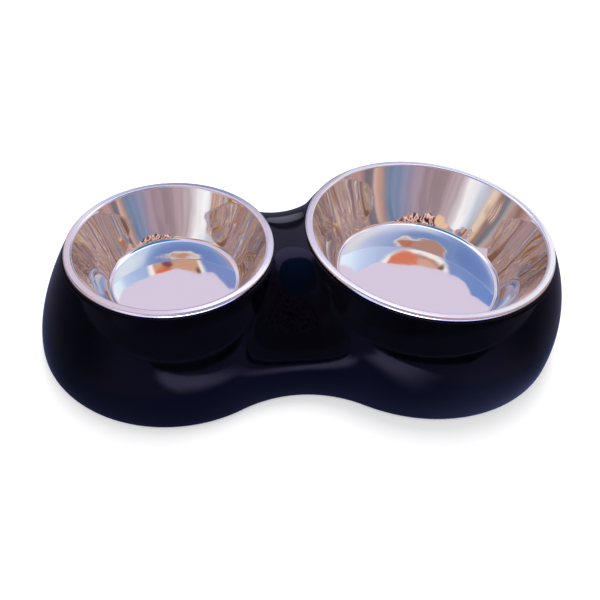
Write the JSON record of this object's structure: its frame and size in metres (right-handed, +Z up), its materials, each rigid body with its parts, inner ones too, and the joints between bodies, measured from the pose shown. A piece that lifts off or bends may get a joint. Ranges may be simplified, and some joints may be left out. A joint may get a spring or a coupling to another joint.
{
  "type": "double pet bowl",
  "caption": "Low figure-of-eight stand, open underneath, that holds a small and a large round steel bowl side by side; each bowl lifts out by its rolled rim.",
  "frame": {"origin": "middle of the bounding box in plan, on the plane that the rubber feet stand on", "axes": "+X from the small bowl to the large bowl, along the length; +Y towards the back, away from the picture's camera; +Z up"},
  "size_m": [0.3118, 0.1786, 0.0609],
  "materials": {
    "moulded_base": "glossy black melamine, moulded in a polished tool",
    "pressed_steel": "polished stainless sheet, pressed, with a rolled edge",
    "foot_rubber": "matt moulded rubber"
  },
  "bodies": {
    "base": {"base": "moulded_base", "foot_small_back": "foot_rubber", "foot_small_end": "foot_rubber", "foot_small_front": "foot_rubber", "foot_large_front": "foot_rubber", "foot_large_end": "foot_rubber", "foot_large_back": "foot_rubber"},
    "small_bowl": {"small_bowl": "pressed_steel"},
    "large_bowl": {"large_bowl": "pressed_steel"}
  },
  "joints": [
    {"name": "small_bowl_lift", "type": "slide", "parent": "base", "child": "small_bowl", "axis": [0, 0, 1], "range_m": [0, 0.06]},
    {"name": "large_bowl_lift", "type": "slide", "parent": "base", "child": "large_bowl", "axis": [0, 0, 1], "range_m": [0, 0.06]}
  ]
}
